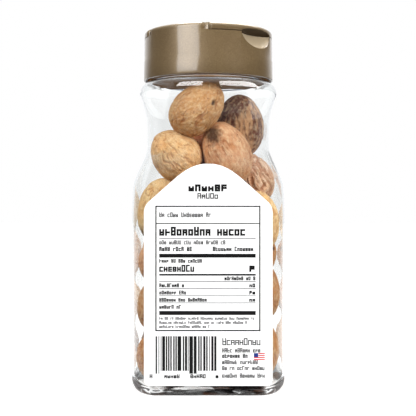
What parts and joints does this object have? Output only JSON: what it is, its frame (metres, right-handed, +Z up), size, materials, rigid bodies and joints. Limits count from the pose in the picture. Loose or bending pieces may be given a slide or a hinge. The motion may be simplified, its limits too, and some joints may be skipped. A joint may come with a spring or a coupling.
{
  "type": "jar of whole nutmeg",
  "caption": "Shut clear plastic spice jar with a round waist and a flip-top cap, full of whole nutmegs seen through its walls.",
  "frame": {"origin": "middle of the underside of the jar", "axes": "+Z up through the cap, -Y out of the labelled front, +X to the right of it"},
  "size_m": [0.057, 0.0554, 0.1386],
  "materials": {
    "clear_plastic": "clear smooth moulded plastic",
    "cap_plastic": "bronze metallic moulded plastic, satin",
    "nutmeg": "dry wrinkled seed, matt",
    "label_paper": null
  },
  "bodies": {
    "root": {"jar": "clear_plastic", "cap": "cap_plastic", "nutmegs": "nutmeg", "label_front": "label_paper", "label_back": "label_paper"}
  },
  "joints": []
}
